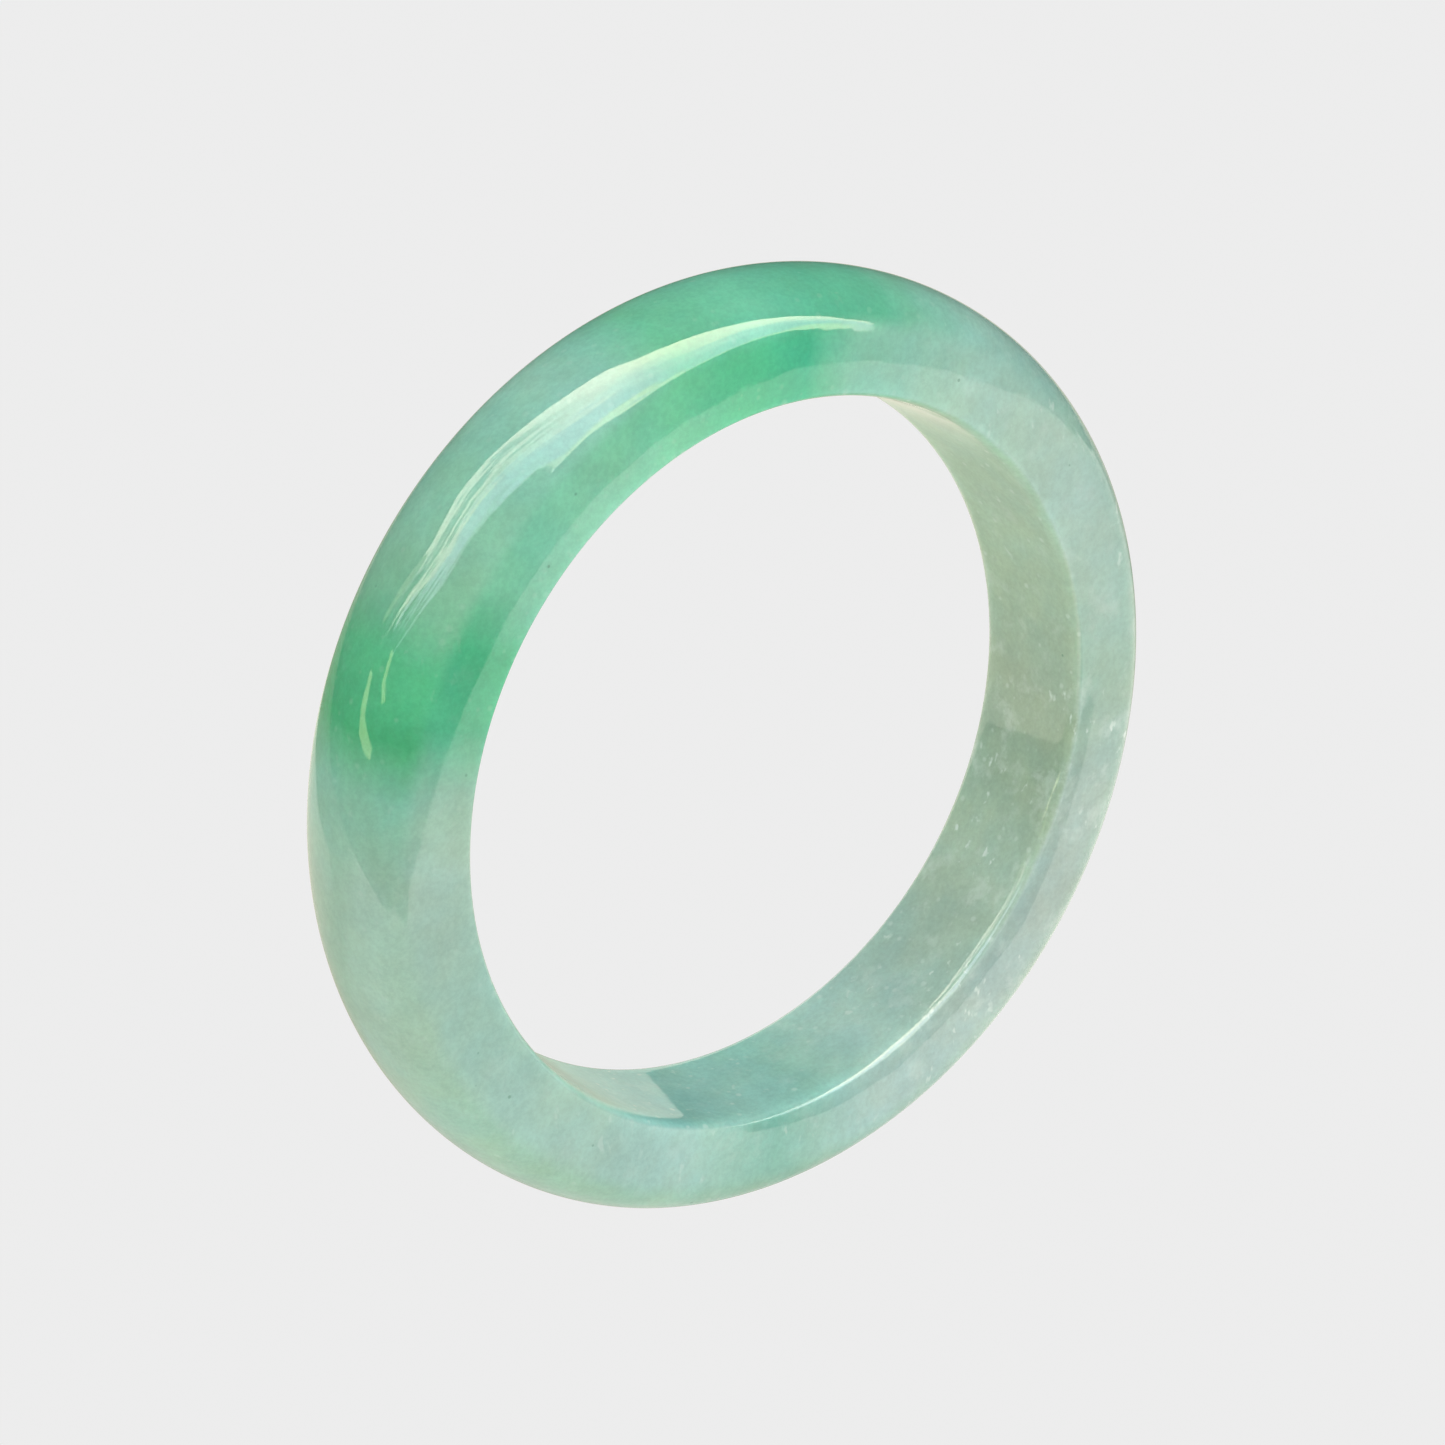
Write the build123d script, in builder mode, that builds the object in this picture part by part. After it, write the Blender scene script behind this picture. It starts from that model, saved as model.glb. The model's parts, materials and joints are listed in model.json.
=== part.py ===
from build123d import *
import os

# A one-piece stone bangle: a plain hoop with a flat bore wall and a domed outside.
# Millimetres. The bore's axis is Y, the origin is the bore's centre, and the hoop
# stands upright with +Z up, as it is worn on a wrist held out along Y.

# driving dimensions
bore_diameter = 57.0        # the size a bangle is sold by
band_thickness = 8.67       # from the bore wall to the crown of the dome
band_width = 11.48          # at the widest point, along the bore's axis
bore_wall_width = 11.0      # across the bore wall, before its two edges are eased
shoulder_height = 5.35      # how far above the bore wall the band is widest
eased_edge_radius = 1.25    # the rounded edges that meet the wrist

# worked out from them
bore_radius = bore_diameter / 2
shoulder_radius = bore_radius + shoulder_height
dome_rise = band_thickness - shoulder_height
half_width = band_width / 2
wall_half_width = bore_wall_width / 2

with BuildPart() as bangle:
    # the band's section lies to the right of the axis: X is the radius, Y runs across the band
    with BuildSketch(Plane.XY) as section:
        with BuildLine():
            dome = EllipticalCenterArc(
                (shoulder_radius, 0),
                x_radius=dome_rise,
                y_radius=half_width,
                start_angle=-90,
                arc_size=180,
            )
            # each side leaves the dome smoothly and leans in towards the bore wall
            near_side = TangentArc(dome @ 0, (bore_radius, -wall_half_width), tangent=(-1, 0))
            far_side = TangentArc(dome @ 1, (bore_radius, wall_half_width), tangent=(-1, 0))
            Line(near_side @ 1, far_side @ 1)
        make_face()
        fillet(section.vertices().group_by(Axis.X)[0], radius=eased_edge_radius)
    revolve(axis=Axis.Y)

bangle.part.label = "bangle"

bore_wall = bangle.faces().filter_by(GeomType.CYLINDER).sort_by(SortBy.AREA)[-1]
size = bangle.part.bounding_box().size
print(f"bangle {size.X:.2f} x {size.Y:.2f} x {size.Z:.2f} mm, {bangle.part.volume:.0f} mm3")
print(f"bore wall radius {bore_radius:.2f} mm, flat over {bore_wall.bounding_box().size.Y:.3f} mm")

os.makedirs("parts", exist_ok=True)
export_step(bangle.part, "parts/bangle.step")
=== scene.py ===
import json
import math
import bpy
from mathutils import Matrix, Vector


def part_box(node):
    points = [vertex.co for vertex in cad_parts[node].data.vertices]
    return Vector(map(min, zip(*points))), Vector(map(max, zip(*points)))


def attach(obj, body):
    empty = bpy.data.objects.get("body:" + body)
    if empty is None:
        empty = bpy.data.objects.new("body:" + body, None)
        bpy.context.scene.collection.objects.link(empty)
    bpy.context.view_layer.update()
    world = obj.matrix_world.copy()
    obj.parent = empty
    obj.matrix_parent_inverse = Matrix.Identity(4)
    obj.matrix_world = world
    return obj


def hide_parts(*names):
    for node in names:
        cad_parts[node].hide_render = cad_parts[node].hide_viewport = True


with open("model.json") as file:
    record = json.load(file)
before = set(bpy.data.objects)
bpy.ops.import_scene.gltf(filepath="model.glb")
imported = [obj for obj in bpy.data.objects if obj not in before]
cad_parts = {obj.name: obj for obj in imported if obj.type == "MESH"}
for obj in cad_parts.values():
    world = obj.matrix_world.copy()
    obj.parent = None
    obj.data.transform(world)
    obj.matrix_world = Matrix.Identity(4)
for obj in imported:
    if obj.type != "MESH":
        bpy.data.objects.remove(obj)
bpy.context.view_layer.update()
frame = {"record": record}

mm = 0.001
cadLow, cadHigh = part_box("bangle")
boreMount = frame["record"]["mounts"][0]
boreRadius = boreMount["dims"]["r_mm"] * mm
outerRadius = cadHigh.x
halfWidth = cadHigh.y


# small helpers

def clearSelection():
    if bpy.context.object and bpy.context.object.mode != "OBJECT":
        bpy.ops.object.mode_set(mode="OBJECT")
    bpy.ops.object.select_all(action="DESELECT")


def pickPoints(obj, test):
    # selects the points whose place passes the test, and leaves the object in edit mode
    bpy.ops.object.mode_set(mode="EDIT")
    bpy.ops.mesh.select_mode(type="VERT")
    bpy.ops.mesh.select_all(action="DESELECT")
    bpy.ops.object.mode_set(mode="OBJECT")
    for point in obj.data.vertices:
        point.select = test(point.co)
    bpy.ops.object.mode_set(mode="EDIT")


def sky(azimuth, elevation):
    # a direction from the bangle: azimuth 0 is -Y and 90 is +X, and over 90 high is over the top
    turn = math.radians(azimuth)
    rise = math.radians(elevation)
    return Vector((math.sin(turn) * math.cos(rise), -math.cos(turn) * math.cos(rise), math.sin(rise)))


# the bangle's section, turned into the hoop

band = {
    "shoulderHeight": 5.35 * mm,   # above the bore wall, where the band is widest
    "wallHalfWidth": 5.5 * mm,     # half of the bore wall before its edges are eased
    "easedEdge": 1.25 * mm,
    "domePoints": 128,             # round the whole ellipse, so the dome gets half
    "sidePoints": 10,
    "edgePoints": 8,
    "wallPoints": 20,
    "turnPoints": 360,
    "near": 0.001 * mm,            # points closer than this count as one
}


def turnBangle():
    shoulderRadius = boreRadius + band["shoulderHeight"]
    lean = halfWidth - band["wallHalfWidth"]
    sideRadius = (band["shoulderHeight"] ** 2 + lean ** 2) / (2 * lean)
    sideAngle = math.asin(band["shoulderHeight"] / sideRadius)
    near = band["near"]

    clearSelection()
    bpy.ops.mesh.primitive_circle_add(
        vertices=band["domePoints"], radius=halfWidth, location=(shoulderRadius, 0, 0))
    hoop = bpy.context.object
    hoop.name = "jadeBangle"
    bpy.ops.object.transform_apply(location=True, rotation=True, scale=True)
    bpy.ops.object.mode_set(mode="EDIT")
    bpy.ops.mesh.select_all(action="SELECT")
    bpy.ops.transform.resize(
        value=((outerRadius - shoulderRadius) / halfWidth, 1, 1),
        center_override=(shoulderRadius, 0, 0))
    pickPoints(hoop, lambda p: p.x < shoulderRadius - near)
    bpy.ops.mesh.delete(type="VERT")

    # each side swings in from the shoulder to the bore wall
    for side in (1, -1):
        pickPoints(hoop, lambda p: abs(p.x - shoulderRadius) < near and p.y * side > 0)
        bpy.ops.mesh.spin(
            steps=band["sidePoints"], angle=-sideAngle * side, use_auto_merge=False,
            center=(shoulderRadius, (halfWidth - sideRadius) * side, 0), axis=(0, 0, 1))

    # the bore wall closes the section, and its two corners are eased
    pickPoints(hoop, lambda p: abs(p.x - boreRadius) < near)
    bpy.ops.mesh.edge_face_add()
    corner = math.pi / 2 + sideAngle
    bpy.ops.mesh.bevel(
        offset=band["easedEdge"] / math.tan(corner / 2), segments=band["edgePoints"], affect="VERTICES")
    pickPoints(hoop, lambda p: abs(p.x - boreRadius) < near and abs(p.y) < band["wallHalfWidth"])
    bpy.ops.mesh.subdivide(number_cuts=band["wallPoints"])

    bpy.ops.mesh.select_all(action="SELECT")
    bpy.ops.mesh.spin(
        steps=band["turnPoints"], angle=2 * math.pi, center=(0, 0, 0), axis=(0, 1, 0))
    bpy.ops.mesh.select_all(action="SELECT")
    bpy.ops.mesh.remove_doubles(threshold=near)
    bpy.ops.mesh.normals_make_consistent(inside=False)
    bpy.ops.object.mode_set(mode="OBJECT")
    bpy.ops.object.shade_smooth()
    return hoop


bangle = turnBangle()
print("bangle turned:", len(bangle.data.vertices), "points")


# node building

def addNode(tree, kind, place, inputs=None, **settings):
    node = tree.nodes.new(kind)
    node.location = place
    for name, value in settings.items():
        setattr(node, name, value)
    for name, value in (inputs or {}).items():
        feed(tree, node.inputs[name], value)
    return node


def feed(tree, socket, value):
    # links the socket to another one, or sets it
    if isinstance(value, bpy.types.NodeSocket):
        tree.links.new(value, socket)
    elif isinstance(value, tuple) and socket.type == "RGBA":
        socket.default_value = (*value, 1)
    else:
        socket.default_value = value


def newTree(name):
    material = bpy.data.materials.new(name)
    material.use_nodes = True
    material.node_tree.nodes.clear()
    return material, material.node_tree


def addRamp(tree, place, share, stops):
    node = addNode(tree, "ShaderNodeValToRGB", place, {"Fac": share})
    elements = node.color_ramp.elements
    while len(elements) > 1:
        elements.remove(elements[-1])
    for number, (at, colour) in enumerate(stops):
        element = elements[0] if number == 0 else elements.new(at)
        element.position = at
        element.color = (*colour, 1)
    return node.outputs["Color"]


def addNoise(tree, place, coords, size, detail=3.0, roughness=0.5):
    return addNode(tree, "ShaderNodeTexNoise", place, {
        "Vector": coords, "Scale": 1 / size, "Detail": detail, "Roughness": roughness})


def addMath(tree, place, operation, first, second):
    node = addNode(tree, "ShaderNodeMath", place, {0: first, 1: second}, operation=operation)
    return node.outputs[0]


def addRange(tree, place, value, low, high, toLow=0.0, toHigh=1.0):
    node = addNode(tree, "ShaderNodeMapRange", place, {
        "Value": value, "From Min": low, "From Max": high, "To Min": toLow, "To Max": toHigh},
        interpolation_type="SMOOTHSTEP")
    return node.outputs["Result"]


def addTone(tree, place, noise, swing):
    # turns noise into a factor that goes as far below 1 as above it
    return addRange(tree, place, noise, 0.3, 0.7, 1 - swing, 1 + swing)


def addBlend(tree, place, share, first, second, blend="MIX"):
    node = addNode(tree, "ShaderNodeMix", place, data_type="RGBA", blend_type=blend)
    for number, value in ((0, share), (6, first), (7, second)):   # the sockets a colour mix uses
        feed(tree, node.inputs[number], value)
    return node.outputs[2]


def push(tree, place, coords, noise, drift):
    # moves the coordinates by the noise, drift being the full swing
    x, y = place
    centred = addNode(tree, "ShaderNodeVectorMath", place, {
        0: noise.outputs["Color"], 1: (0.5, 0.5, 0.5)}, operation="SUBTRACT")
    scaled = addNode(tree, "ShaderNodeVectorMath", (x + 150, y), {
        0: centred.outputs[0], "Scale": drift}, operation="SCALE")
    moved = addNode(tree, "ShaderNodeVectorMath", (x + 300, y), {
        0: coords, 1: scaled.outputs[0]}, operation="ADD")
    return moved.outputs[0]


def distance(tree, place, coords, plane):
    # how far a place is from the origin, measured in a plane
    flat = addNode(tree, "ShaderNodeVectorMath", place, {0: coords, 1: plane}, operation="MULTIPLY")
    length = addNode(tree, "ShaderNodeVectorMath", (place[0] + 200, place[1]), {
        0: flat.outputs[0]}, operation="LENGTH")
    return length.outputs["Value"]


def ringRamp(tree, place, share, stops):
    # stops by angle, laid out from -180 to 180 degrees so both ends meet
    def slot(angle):
        return ((angle + 180) % 360) / 360
    ordered = sorted((slot(angle), colour) for angle, colour in stops)
    if ordered[0][0] > 0:
        ordered.insert(0, (0.0, ordered[-1][1]))
    ordered.append((1.0, ordered[0][1]))
    return addRamp(tree, place, share, ordered)


# jade

jade = {
    "polish": (0.025, 0.06),        # roughness, from the best polished places to the haziest
    "refraction": 1.66,
    "glowDepth": 2.0 * mm,
    "cloudSize": 15 * mm,           # the large clouds, and how far they push the colour about
    "cloudDrift": 3 * mm,
    "wispSize": 3.2 * mm,
    "wispDrift": 1.2 * mm,
    "grainSize": 0.45 * mm,
    "cloudTone": 0.05,              # how much each one lightens and darkens the stone
    "wispTone": 0.05,
    "grainTone": 0.06,
    "tintSize": 6 * mm,             # warmer and cooler patches
    "tintWarm": 0.035,
    "tintCool": 0.03,
    "smudgeSize": 2.6 * mm,         # soft white smudges
    "smudgeCut": (0.5, 0.72),       # where the noise starts to turn white, and where it has turned
    "smudgeWhite": 0.4,
    "fleckSize": 0.8 * mm,          # short white flecks, in loose groups
    "fleckCut": (0.62, 0.74),
    "fleckWhite": 0.9,
    "fleckTurn": -30,
    "groupSize": 7 * mm,
    "groupCut": (0.48, 0.62),
    "spotSize": 0.9 * mm,           # pale spots, mostly in the bore
    "spotReach": 0.35,              # radius of the largest, as a share of that size
    "spotWhite": 0.35,
    "spotsOutside": 0.25,
    "speckSize": 2.4 * mm,          # one dark speck at most in a patch of this size
    "speckEdge": (0.035, 0.075),    # its radius, as a share of that size
    "specksMissing": 0.8,
    "speckDark": 0.5,
    "cotton": (0.78, 0.88, 0.82),
    "speck": (0.10, 0.26, 0.17),
    "boreEdge": (0.15 * mm, 0.5 * mm),   # above the bore wall: the bore's own colour ends here
    "sideEdge": (4.6 * mm, 6.4 * mm),    # and the side's own colour here
    "edgeDrift": 0.3 * mm,
    "rippleSize": 2.2 * mm,         # the polish isn't quite even
    "rippleHeight": 0.006 * mm,
    # how white the cotton is round the hoop: degrees from +X up towards +Z
    "cottonRound": [(80, 0.05), (180, 0.1), (270, 0.35), (320, 1), (350, 1), (15, 0.5), (45, 0.4)],
    # colour round the hoop, by the same angle
    "side": [
        (0, (0.39, 0.57, 0.47)), (30, (0.43, 0.61, 0.54)), (60, (0.44, 0.67, 0.57)),
        (72, (0.33, 0.62, 0.51)), (82, (0.29, 0.64, 0.49)), (90, (0.10, 0.58, 0.35)),
        (101, (0.14, 0.61, 0.35)), (112, (0.23, 0.66, 0.42)), (125, (0.29, 0.68, 0.49)),
        (142, (0.24, 0.62, 0.44)), (149, (0.10, 0.52, 0.29)), (159, (0.12, 0.54, 0.32)),
        (168, (0.33, 0.57, 0.45)), (180, (0.39, 0.58, 0.49)), (200, (0.33, 0.55, 0.47)),
        (225, (0.39, 0.61, 0.53)), (250, (0.42, 0.66, 0.60)), (266, (0.29, 0.60, 0.49)),
        (285, (0.49, 0.69, 0.65)), (310, (0.47, 0.60, 0.55)), (340, (0.49, 0.63, 0.57))],
    "outside": [
        (0, (0.42, 0.60, 0.48)), (30, (0.33, 0.52, 0.44)), (60, (0.36, 0.60, 0.52)),
        (69, (0.27, 0.56, 0.43)), (78, (0.15, 0.55, 0.37)), (86, (0.14, 0.54, 0.35)),
        (96, (0.19, 0.62, 0.43)), (108, (0.19, 0.61, 0.39)), (114, (0.28, 0.62, 0.47)),
        (120, (0.36, 0.68, 0.55)), (132, (0.29, 0.61, 0.47)), (142, (0.30, 0.60, 0.44)),
        (148, (0.24, 0.56, 0.38)), (153, (0.13, 0.55, 0.30)), (162, (0.09, 0.47, 0.23)),
        (169, (0.27, 0.56, 0.43)), (180, (0.36, 0.55, 0.44)), (225, (0.38, 0.61, 0.48)),
        (250, (0.39, 0.64, 0.51)), (268, (0.32, 0.58, 0.46)), (285, (0.42, 0.64, 0.55)),
        (310, (0.48, 0.64, 0.55)), (340, (0.46, 0.62, 0.52))],
    "bore": [
        (0, (0.42, 0.54, 0.41)), (35, (0.47, 0.65, 0.51)), (50, (0.45, 0.68, 0.52)),
        (62, (0.42, 0.62, 0.46)), (80, (0.22, 0.52, 0.33)), (100, (0.12, 0.52, 0.30)),
        (130, (0.26, 0.58, 0.40)), (155, (0.12, 0.50, 0.28)), (180, (0.36, 0.56, 0.43)),
        (235, (0.41, 0.73, 0.64)), (248, (0.26, 0.54, 0.50)), (262, (0.38, 0.65, 0.57)),
        (275, (0.36, 0.65, 0.57)), (288, (0.52, 0.74, 0.67)), (300, (0.46, 0.64, 0.57)),
        (325, (0.51, 0.66, 0.54)), (342, (0.42, 0.55, 0.42))],
}


def makeJade():
    material, tree = newTree("jade")
    coords = addNode(tree, "ShaderNodeTexCoord", (-3400, 0)).outputs["Object"]

    # the colour follows the hoop, pushed about by clouds and wisps
    cloud = addNoise(tree, (-3200, 300), coords, jade["cloudSize"], detail=2)
    drifted = push(tree, (-3000, 300), coords, cloud, jade["cloudDrift"])
    wisp = addNoise(tree, (-3200, 0), coords, jade["wispSize"], detail=4, roughness=0.6)
    warped = push(tree, (-2500, 200), drifted, wisp, jade["wispDrift"])
    parts = addNode(tree, "ShaderNodeSeparateXYZ", (-2000, 200), {"Vector": warped}).outputs
    turn = addMath(tree, (-1850, 200), "ARCTAN2", parts["Z"], parts["X"])
    share = addNode(tree, "ShaderNodeMapRange", (-1700, 200), {
        "Value": turn, "From Min": -math.pi, "From Max": math.pi}).outputs["Result"]
    side = ringRamp(tree, (-1500, 500), share, jade["side"])
    outside = ringRamp(tree, (-1500, 250), share, jade["outside"])
    bore = ringRamp(tree, (-1500, 0), share, jade["bore"])

    # how far out from the bore wall this place is
    fine = push(tree, (-3000, -200), coords, wisp, jade["edgeDrift"])
    reach = distance(tree, (-2500, -200), fine, (1, 0, 1))
    offBore = addRange(tree, (-2100, -200), reach, *[boreRadius + height for height in jade["boreEdge"]])
    offSide = addRange(tree, (-2100, -400), reach, *[boreRadius + height for height in jade["sideEdge"]])
    body = addBlend(tree, (-1100, 300), offBore, bore, side)
    body = addBlend(tree, (-900, 300), offSide, body, outside)

    # cloudy lights and darks at three sizes, and warmer and cooler patches
    grain = addNoise(tree, (-1500, -300), coords, jade["grainSize"], detail=4, roughness=0.75)
    cloudTone = addTone(tree, (-1300, -150), cloud.outputs["Fac"], jade["cloudTone"])
    wispTone = addTone(tree, (-1300, -300), wisp.outputs["Fac"], jade["wispTone"])
    grainTone = addTone(tree, (-1300, -450), grain.outputs["Fac"], jade["grainTone"])
    tone = addMath(tree, (-1100, -200), "MULTIPLY", cloudTone, wispTone)
    tone = addMath(tree, (-950, -300), "MULTIPLY", tone, grainTone)
    tint = addNoise(tree, (-1500, -500), drifted, jade["tintSize"], detail=3, roughness=0.6)
    warm = addTone(tree, (-1200, -500), tint.outputs["Fac"], jade["tintWarm"])
    cool = addTone(tree, (-1200, -650), tint.outputs["Fac"], -jade["tintCool"])
    warmer = addMath(tree, (-1000, -450), "MULTIPLY", tone, warm)
    cooler = addMath(tree, (-1000, -600), "MULTIPLY", tone, cool)
    tone = addNode(tree, "ShaderNodeCombineColor", (-800, -200), {
        "Red": warmer, "Green": tone, "Blue": cooler}).outputs["Color"]
    body = addBlend(tree, (-650, 300), 1.0, body, tone, "MULTIPLY")

    # white cotton: soft smudges and short flecks, thickest on the pale side
    cottonRound = ringRamp(tree, (-1500, -650), share, [
        (angle, (white, white, white)) for angle, white in jade["cottonRound"]])
    smudge = addNoise(tree, (-1500, -900), warped, jade["smudgeSize"], detail=5, roughness=0.65)
    smudge = addRange(
        tree, (-1300, -900), smudge.outputs["Fac"], *jade["smudgeCut"], 0.0, jade["smudgeWhite"])
    stretched = addNode(tree, "ShaderNodeMapping", (-1700, -1100), {
        "Vector": warped, "Rotation": (0, math.radians(jade["fleckTurn"]), 0), "Scale": (1, 1, 0.5)})
    fleck = addNoise(tree, (-1500, -1100), stretched.outputs["Vector"], jade["fleckSize"], detail=2)
    fleck = addRange(tree, (-1300, -1100), fleck.outputs["Fac"], *jade["fleckCut"], 0.0, jade["fleckWhite"])
    group = addNoise(tree, (-1500, -1300), coords, jade["groupSize"], detail=1)
    group = addRange(tree, (-1300, -1300), group.outputs["Fac"], *jade["groupCut"])
    fleck = addMath(tree, (-1200, -1200), "MULTIPLY", fleck, group)
    cotton = addMath(tree, (-1100, -1000), "MAXIMUM", smudge, fleck)
    cotton = addMath(tree, (-900, -900), "MULTIPLY", cotton, cottonRound)

    # pale spots, each cell's random colour giving the size of its spot
    spot = addNode(tree, "ShaderNodeTexVoronoi", (-1500, -1550), {
        "Vector": fine, "Scale": 1 / jade["spotSize"], "Randomness": 1.0})
    spotReach = addNode(tree, "ShaderNodeSeparateColor", (-1300, -1700), {
        "Color": spot.outputs["Color"]}).outputs["Green"]
    spotReach = addRange(tree, (-1100, -1700), spotReach, 0.6, 1.0, 0.0, jade["spotReach"])
    spot = addMath(tree, (-1100, -1550), "SUBTRACT", spotReach, spot.outputs["Distance"])
    spot = addRange(tree, (-950, -1550), spot, -0.05, 0.2, 0.0, jade["spotWhite"])
    fewer = addRange(tree, (-950, -1750), offBore, 0.0, 1.0, 1.0, jade["spotsOutside"])
    spot = addMath(tree, (-800, -1550), "MULTIPLY", spot, fewer)
    cotton = addMath(tree, (-750, -1000), "MAXIMUM", cotton, spot)
    body = addBlend(tree, (-400, 300), cotton, body, jade["cotton"])

    # a few tiny dark specks
    cell = addNode(tree, "ShaderNodeTexVoronoi", (-1100, -1300), {
        "Vector": coords, "Scale": 1 / jade["speckSize"]})
    speck = addRange(tree, (-900, -1300), cell.outputs["Distance"], *jade["speckEdge"], 1.0, 0.0)
    chosen = addNode(tree, "ShaderNodeSeparateColor", (-900, -1500), {
        "Color": cell.outputs["Color"]}).outputs["Red"]
    chosen = addMath(tree, (-700, -1500), "GREATER_THAN", chosen, jade["specksMissing"])
    speck = addMath(tree, (-500, -1300), "MULTIPLY", speck, chosen)
    speck = addMath(tree, (-350, -1300), "MULTIPLY", speck, jade["speckDark"])
    body = addBlend(tree, (-200, 300), speck, body, jade["speck"])

    haze = addRange(tree, (-400, 0), wisp.outputs["Fac"], 0.35, 0.7, *jade["polish"])
    ripple = addNoise(tree, (-700, -600), coords, jade["rippleSize"], detail=2)
    bump = addNode(tree, "ShaderNodeBump", (-300, -600), {
        "Height": ripple.outputs["Fac"], "Strength": 1.0, "Distance": jade["rippleHeight"]})
    shader = addNode(tree, "ShaderNodeBsdfPrincipled", (0, 0), {
        "Base Color": body, "Roughness": haze, "IOR": jade["refraction"], "Normal": bump.outputs["Normal"],
        "Subsurface Weight": 1.0, "Subsurface Radius": (1.0, 1.0, 1.0),
        "Subsurface Scale": jade["glowDepth"]})
    addNode(tree, "ShaderNodeOutputMaterial", (300, 0), {"Surface": shader.outputs["BSDF"]})
    return material


bangle.data.materials.append(makeJade())
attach(bangle, "root")
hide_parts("bangle")
print("jade mixed")


# floor, cards and lights

studio = {
    "floorSize": 8.0,
    "backdrop": (0.845, 0.845, 0.845),
    "floorBounce": (0.95, 0.95, 0.90),   # what the floor throws back up on to the stone
    "room": (0.11, 0.12, 0.11),          # what the polish shows where there is no card
    "ambient": (0.66, 0.67, 0.66),       # the light from all round
    "skyReach": 0.6,                     # from the bangle to the big light
}


def showTo(obj, camera=False, diffuse=False, glossy=False):
    obj.visible_camera = camera
    obj.visible_diffuse = diffuse
    obj.visible_glossy = glossy
    obj.visible_transmission = False
    obj.visible_volume_scatter = False
    obj.visible_shadow = False


def addGlow(tree, place, colour):
    glow = addNode(tree, "ShaderNodeEmission", place, {"Color": colour, "Strength": 1.0})
    return glow.outputs[0]


def addMix(tree, place, share, first, second):
    mix = addNode(tree, "ShaderNodeMixShader", place, {"Fac": share, 1: first, 2: second})
    return mix.outputs[0]


def makeFloor():
    clearSelection()
    bpy.ops.mesh.primitive_plane_add(size=studio["floorSize"], location=(0, 0, cadLow.z))
    floor = bpy.context.object
    floor.name = "floor"
    material, tree = newTree("paleFloor")
    path = addNode(tree, "ShaderNodeLightPath", (-600, 0)).outputs
    bounce = addGlow(tree, (-400, 100), studio["floorBounce"])
    seen = addGlow(tree, (-400, -100), studio["backdrop"])
    surface = addMix(tree, (-100, 0), path["Is Camera Ray"], bounce, seen)
    addNode(tree, "ShaderNodeOutputMaterial", (200, 0), {"Surface": surface})
    floor.data.materials.append(material)
    showTo(floor, camera=True, diffuse=True)


def glowing(name, colour):
    material, tree = newTree(name)
    glow = addGlow(tree, (-200, 0), colour)
    addNode(tree, "ShaderNodeOutputMaterial", (0, 0), {"Surface": glow})
    return material


def slopingGlow(name, axis, reach, first, second, shade=None):
    # glows from one colour to the other along an axis, over a reach given in millimetres,
    # and may dim under the bangle, where its shadow would be
    material, tree = newTree(name)
    coords = addNode(tree, "ShaderNodeTexCoord", (-1100, 0)).outputs["Object"]
    parts = addNode(tree, "ShaderNodeSeparateXYZ", (-900, 0), {"Vector": coords}).outputs
    share = addNode(tree, "ShaderNodeMapRange", (-700, 0), {
        "Value": parts[axis], "From Min": reach[0] * mm, "From Max": reach[1] * mm})
    colour = addRamp(tree, (-500, 0), share.outputs["Result"], [(0, first), (1, second)])
    glow = addNode(tree, "ShaderNodeEmission", (0, 0), {"Color": colour, "Strength": 1.0})
    if shade:
        away = distance(tree, (-900, -300), coords, (1, 1, 0))
        light = addRange(tree, (-500, -300), away, shade["inner"], shade["outer"], shade["least"], 1.0)
        tree.links.new(light, glow.inputs["Strength"])
    addNode(tree, "ShaderNodeOutputMaterial", (200, 0), {"Surface": glow.outputs[0]})
    return material


def makeCard(name, corners, material):
    # a flat card, its outline dragged to the corners given in millimetres
    clearSelection()
    bpy.ops.mesh.primitive_circle_add(vertices=len(corners), radius=1, fill_type="NGON")
    card = bpy.context.object
    card.name = name
    for point, corner in zip(card.data.vertices, corners):
        point.co = [length * mm for length in corner]
    card.data.materials.append(material)
    showTo(card, glossy=True)


makeFloor()

low = {
    # places and outlines in millimetres from the bangle's middle
    "drop": -80,                         # how low the ground card lies
    # the ground is bright towards the viewer and dimmer past the bangle
    "groundReach": (20, 110),
    "groundNear": (1.25, 1.22, 1.10),
    "groundFar": (0.42, 0.41, 0.31),
    # painted shadow of the bangle: the ground card's glow drops to 'least' near its middle and comes back
    # to full between 'inner' and 'outer'
    "shade": {"inner": 35 * mm, "outer": 110 * mm, "least": 0.55},
    "ground": [
        (1500, -560), (500, -340), (260, -266), (203, -252), (154, -219), (105, -184), (53, -153),
        (-50, -147), (-110, -140), (-210, -40), (-283, 80), (-347, 281), (-366, 560), (-337, 901),
        (-185, 1120), (-38, 1253), (1500, 1280)],
    # a dark bar low in front
    "barPlace": -53,
    "bar": [
        (18, -38), (25, -47), (30, -57), (38, -58.5), (46, -57), (61, -46.5), (67, -30), (68.5, -26),
        (65, -24), (60, -29), (46, -34), (30, -35)],
    # a pale wall low behind, which shows in the bore, and one far off on the right
    "wallPlace": 80,
    "wallTop": [
        (110, -50), (85, -26), (76, -17.5), (71, -12.5), (66, -9), (40, -9), (-40, -14), (-56, -16.5),
        (-67, -21.5), (-105, -39)],
    "wallFoot": (-105, 120),
    "wallReach": (-60, -25),
    "palePatch": (1.0, 0.93, 0.78),
    "dimPatch": (0.58, 0.56, 0.44),
    "rightWall": [(400, 70), (230, 330)],
    "rightWallTop": 2,
}

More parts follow.
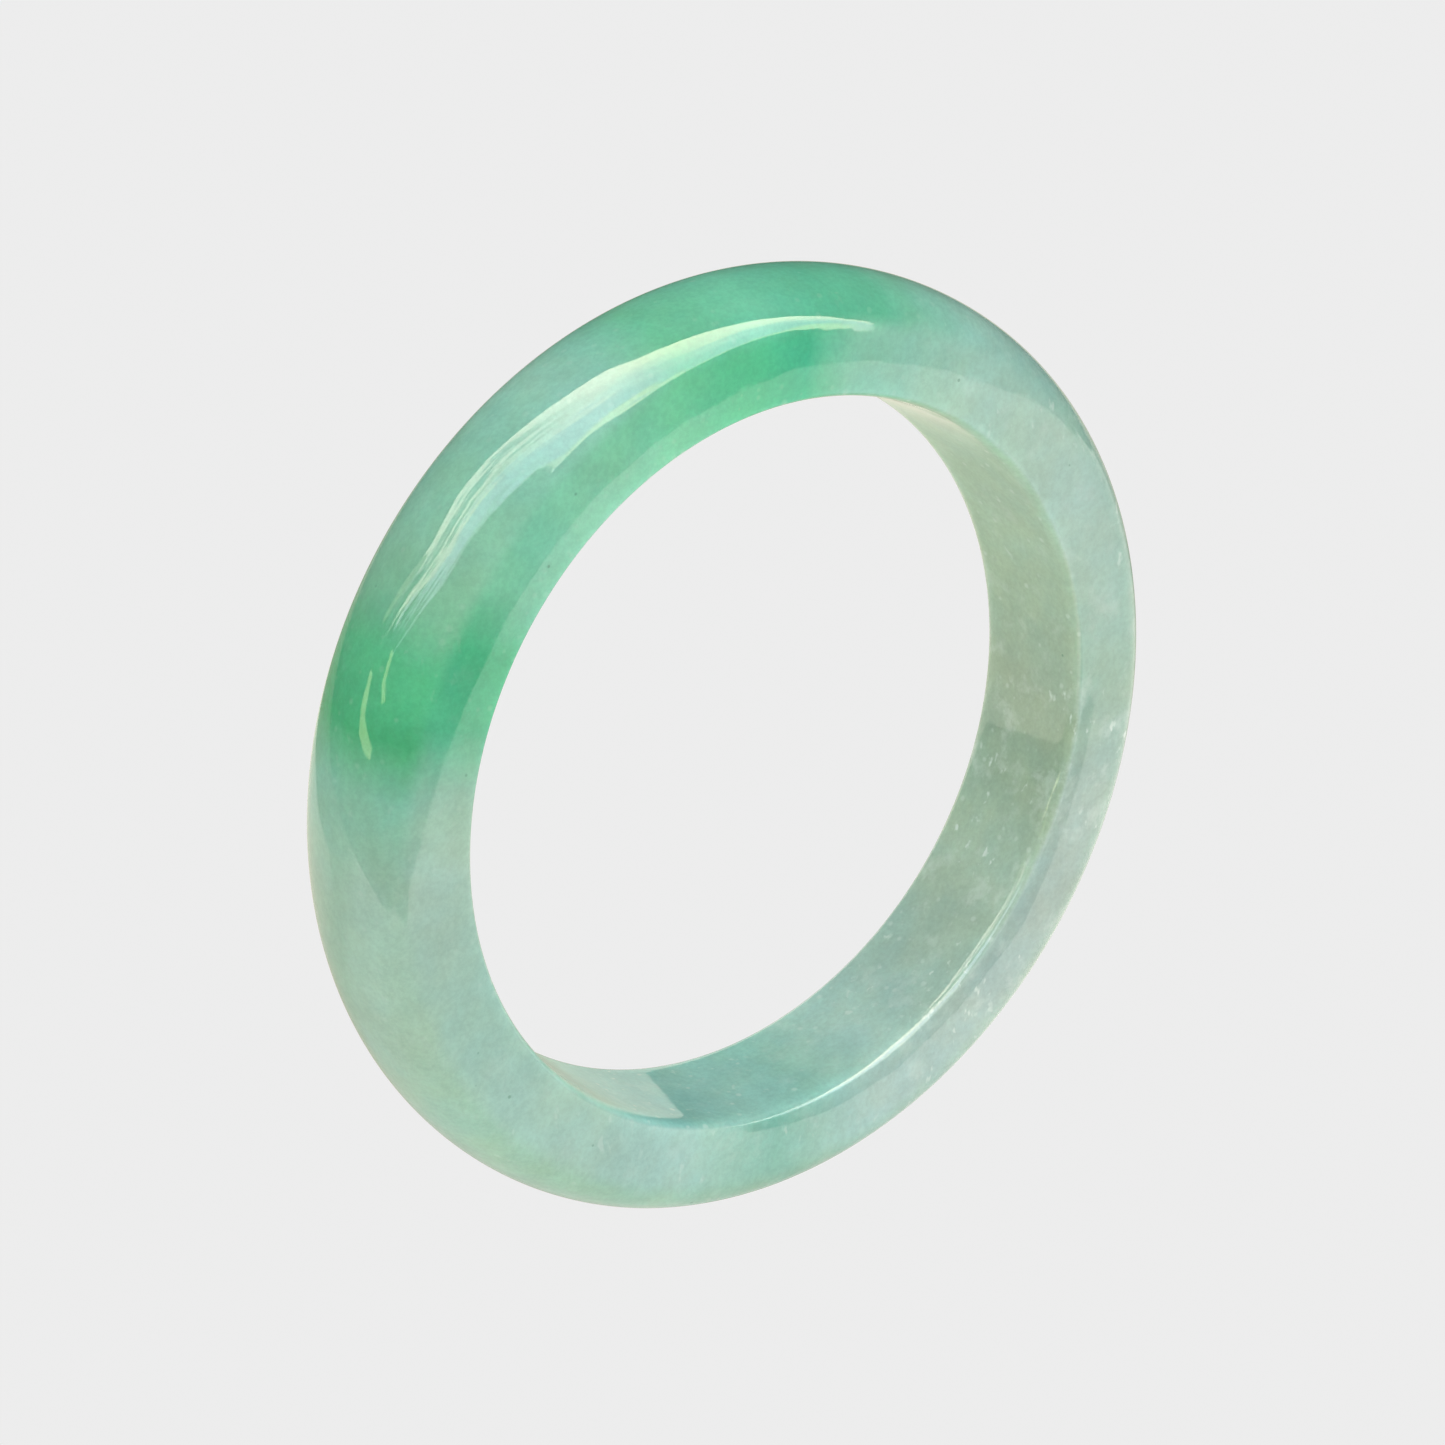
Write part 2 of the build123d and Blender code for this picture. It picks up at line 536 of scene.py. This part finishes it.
drop = low["drop"]
groundGlow = slopingGlow(
    "groundGlow", "Y", low["groundReach"], low["groundNear"], low["groundFar"], low["shade"])
makeCard("groundCard", [(x, y, drop) for x, y in low["ground"]], groundGlow)

makeCard("darkBar", [(x, low["barPlace"], z) for x, z in low["bar"]], glowing("darkCard", studio["room"]))

wallGlow = slopingGlow("paleCard", "Z", low["wallReach"], low["dimPatch"], low["palePatch"])
wallEdge = [(x, drop) for x in low["wallFoot"]] + low["wallTop"]
makeCard("lowPaleWall", [(x, low["wallPlace"], z) for x, z in wallEdge], wallGlow)

rightFoot = [(x, y, drop) for x, y in low["rightWall"]]
rightTop = [(x, y, low["rightWallTop"]) for x, y in reversed(low["rightWall"])]
makeCard("lowPaleRight", rightFoot + rightTop, glowing("dimCard", low["dimPatch"]))


window = {
    # azimuth and height of the straight edge, then of the free edge across from it,
    # from the low right tip to the left tail
    "stations": [
        (40, -12, 40, -12), (41, 12, 39, -11), (44, 38, 36, -4), (46, 57, 33, 0), (46, 73, 30, 3),
        (42, 88, 22, 4), (24, 100, 6, 23), (38, 109, -2, 23), (40, 120, -28, 45), (41, 130, -46, 49),
        (45, 137, -60, 47), (52, 140, -65, 42), (57, 143, -68, 37), (57, 148, -75, 33), (54, 154, -83, 28),
        (52, 162, -96, 20)],
    "rows": (120, 16),
    "hot": (8.0, 6.8, 5.3),         # the strip along the straight edge
    "bright": (4.3, 4.3, 4.4),      # the body of the light near the tip
    "body": (2.6, 2.8, 3.5),        # and where it dims towards the tail
    "rim": (4.8, 4.9, 3.2),         # a line along the free edge
    "strand": (4.6, 4.2, 3.6),      # the tail breaks up into these
    "gap": (1.2, 1.3, 1.25),
    "wobble": 0.07,                 # how far the pattern strays across the light
    "fray": 0.13,
    "tail": (0.36, 0.62),           # along the light, where the tail's pattern takes over
    "fade": (0.66, 1.0),            # and where it fades out
}


def windowGlow():
    # u runs from tip to tail and v from the straight edge to the free one
    material, tree = newTree("windowGlow")
    coords = addNode(tree, "ShaderNodeTexCoord", (-1900, 0)).outputs["UV"]
    parts = addNode(tree, "ShaderNodeSeparateXYZ", (-1700, 200), {"Vector": coords}).outputs
    longWays = addNode(tree, "ShaderNodeMapping", (-1700, -100), {"Vector": coords, "Scale": (9, 3, 1)})
    wobble = addNoise(tree, (-1500, -100), longWays.outputs["Vector"], 1.0, detail=4)
    wobble = addRange(
        tree, (-1300, -100), wobble.outputs["Fac"], 0.25, 0.75, -window["wobble"], window["wobble"])
    across = addMath(tree, (-1100, 100), "ADD", parts["Y"], wobble)

    # thin streaks along the light fray its pattern
    streakWays = addNode(tree, "ShaderNodeMapping", (-1700, -500), {"Vector": coords, "Scale": (6, 17, 1)})
    streak = addNoise(tree, (-1500, -500), streakWays.outputs["Vector"], 1.0, detail=3)
    streak = streak.outputs["Fac"]
    fray = addRange(tree, (-1300, -500), streak, 0.3, 0.7, -window["fray"], window["fray"])
    frayed = addMath(tree, (-1000, 400), "ADD", across, fray)
    front = addRamp(tree, (-900, 300), frayed, [
        (0, window["hot"]), (0.28, window["hot"]), (0.5, window["bright"]), (0.84, window["body"]),
        (0.88, window["rim"])])
    tail = addRamp(tree, (-900, 0), frayed, [
        (0, window["strand"]), (0.12, window["strand"]), (0.17, window["gap"]), (0.31, window["gap"]),
        (0.36, window["strand"]), (0.46, window["strand"]), (0.56, window["body"]), (0.8, window["body"]),
        (1, window["gap"])])
    toTail = addRange(tree, (-900, -300), parts["X"], *window["tail"])
    colour = addBlend(tree, (-500, 200), toTail, front, tail)

    # the streaks take over until the tail has gone
    fade = addRange(tree, (-1100, -500), parts["X"], *window["fade"], 0.22, 0.6)
    gone = addMath(tree, (-900, -500), "SUBTRACT", fade, streak)
    gone = addRange(tree, (-700, -500), gone, -0.04, 0.06)
    colour = addBlend(tree, (-300, 200), gone, colour, studio["room"])

    # the outline is a little ragged
    ragged = addMath(tree, (-700, -800), "GREATER_THAN", across, 0.97)
    colour = addBlend(tree, (-100, 200), ragged, colour, studio["room"])
    glow = addGlow(tree, (100, 0), colour)
    addNode(tree, "ShaderNodeOutputMaterial", (300, 0), {"Surface": glow})
    return material


def makeWindow():
    stations = [(sky(a, b), sky(c, d)) for a, b, c, d in window["stations"]]
    columns, rows = window["rows"]
    clearSelection()
    bpy.ops.mesh.primitive_grid_add(x_subdivisions=columns, y_subdivisions=rows, size=1)
    card = bpy.context.object
    card.name = "overheadLight"
    for point in card.data.vertices:
        along = (point.co.x + 0.5) * (len(stations) - 1)
        across = point.co.y + 0.5
        step = min(int(along), len(stations) - 2)
        straight = stations[step][0].lerp(stations[step + 1][0], along - step)
        free = stations[step][1].lerp(stations[step + 1][1], along - step)
        point.co = straight.lerp(free, across).normalized() * studio["skyReach"]
    card.data.materials.append(windowGlow())
    showTo(card, glossy=True)


glints = {
    # small bright things low on the left, by azimuth and height
    "bright": (2.4, 2.6, 1.3),
    "brightEdges": [
        [(-106, 20), (-102, 20), (-99, 15), (-92, 12), (-96, 11), (-103, 14)],
        [(-121, 13), (-117, 13), (-112, 6.5), (-100, 4), (-94, 3), (-95, 0.5), (-103, 1), (-114, 3),
         (-119, 7)]],
    "faint": (1.1, 1.2, 0.8),
    "faintEdge": [(-121, 36), (-118, 34), (-122, 27), (-127, 19), (-130, 19), (-128, 26)],
}


def makeGlint(name, outline, material):
    makeCard(name, [sky(a, b) * studio["skyReach"] / mm for a, b in outline], material)


brightGlow = glowing("glint", glints["bright"])
for number, outline in enumerate(glints["brightEdges"]):
    makeGlint("glint%d" % number, outline, brightGlow)
makeGlint("ghost", glints["faintEdge"], glowing("ghost", glints["faint"]))

makeWindow()

key = {
    "size": (0.7, 0.4),
    "power": 0.7,
    "azimuth": -12,
    "elevation": 62,
    "distance": 0.4,
}


def placeKey():
    # soft light from above, kept out of the polish
    lamp = bpy.data.lights.new("keyLight", "AREA")
    lamp.shape = "RECTANGLE"
    lamp.size, lamp.size_y = key["size"]
    lamp.energy = key["power"]
    keyLight = bpy.data.objects.new("keyLight", lamp)
    bpy.context.scene.collection.objects.link(keyLight)
    towards = sky(key["azimuth"], key["elevation"])
    keyLight.location = towards * key["distance"]
    keyLight.rotation_euler = towards.to_track_quat("Z", "Y").to_euler()
    keyLight.visible_glossy = False
    keyLight.visible_camera = False


def fillRoom():
    world = bpy.data.worlds.new("studio")
    bpy.context.scene.world = world
    world.use_nodes = True
    tree = world.node_tree
    tree.nodes.clear()
    path = addNode(tree, "ShaderNodeLightPath", (-800, 0)).outputs
    fill = addNode(tree, "ShaderNodeBackground", (-500, 200), {"Color": studio["ambient"]}).outputs[0]
    room = addNode(tree, "ShaderNodeBackground", (-500, 50), {"Color": studio["room"]}).outputs[0]
    wall = addNode(tree, "ShaderNodeBackground", (-500, -100), {"Color": studio["backdrop"]}).outputs[0]
    light = addMix(tree, (-250, 100), path["Is Glossy Ray"], fill, room)
    surface = addMix(tree, (-50, 0), path["Is Camera Ray"], light, wall)
    addNode(tree, "ShaderNodeOutputWorld", (150, 0), {"Surface": surface})


placeKey()
fillRoom()
print("studio lit")


# camera

shot = {
    "azimuth": -36.76,
    "elevation": 22.70,
    "distance": 202.3 * mm,
    "lens": 66.15,
    "sensor": 36,
    "right": 2.49 * mm,             # how far the bangle's middle is from the middle of the view
    "up": -2.10 * mm,
}


def placeCamera():
    back = sky(shot["azimuth"], shot["elevation"])
    right = (-back).cross(Vector((0, 0, 1))).normalized()
    up = right.cross(-back)
    camera = bpy.data.objects.new("camera", bpy.data.cameras.new("camera"))
    bpy.context.scene.collection.objects.link(camera)
    camera.location = back * shot["distance"] - right * shot["right"] - up * shot["up"]
    camera.rotation_euler = (-back).to_track_quat("-Z", "Y").to_euler()
    camera.data.lens = shot["lens"]
    camera.data.sensor_width = shot["sensor"]
    camera.data.clip_start = 0.01
    bpy.context.scene.camera = camera


placeCamera()
bpy.context.scene.view_settings.view_transform = "Standard"
print("camera placed")
